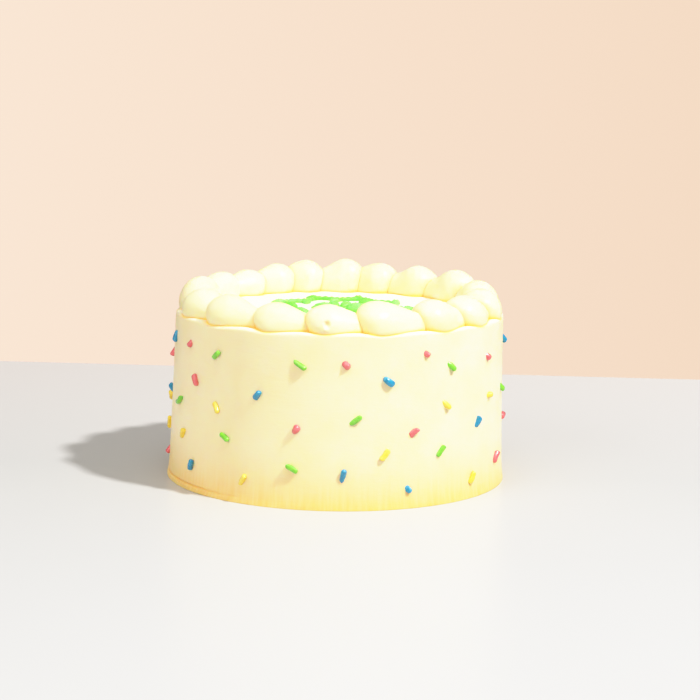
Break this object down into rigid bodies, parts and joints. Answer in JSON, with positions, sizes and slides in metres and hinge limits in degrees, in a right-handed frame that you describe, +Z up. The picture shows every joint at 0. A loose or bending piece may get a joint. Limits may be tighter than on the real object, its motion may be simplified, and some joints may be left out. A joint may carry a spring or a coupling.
{
  "type": "sprinkle cake",
  "caption": "Small round cake in smooth pale yellow icing, with a ring of piped shells round the top, coloured sprinkles pressed into the wall and a green piped wreath.",
  "frame": {"origin": "middle of the flat underside", "axes": "+Z up; -Y is the side that faces the viewer"},
  "size_m": [0.1625, 0.1628, 0.0957],
  "materials": {
    "icing": "smooth satin buttercream",
    "shell_icing": "smooth satin buttercream, piped",
    "piped_green": "satin piped icing",
    "sprinkle_blue": "glossy sugar",
    "sprinkle_pink": "glossy sugar",
    "sprinkle_green": "glossy sugar",
    "sprinkle_yellow": "glossy sugar"
  },
  "bodies": {
    "root": {"cake": "icing", "shell_01": "shell_icing", "shell_02": "shell_icing", "shell_03": "shell_icing", "shell_04": "shell_icing", "shell_05": "shell_icing", "shell_06": "shell_icing", "shell_07": "shell_icing", "shell_08": "shell_icing", "shell_09": "shell_icing", "shell_10": "shell_icing", "shell_11": "shell_icing", "shell_12": "shell_icing", "shell_13": "shell_icing", "shell_14": "shell_icing", "shell_15": "shell_icing", "shell_16": "shell_icing", "shell_17": "shell_icing", "shell_18": "shell_icing"}
  },
  "joints": []
}
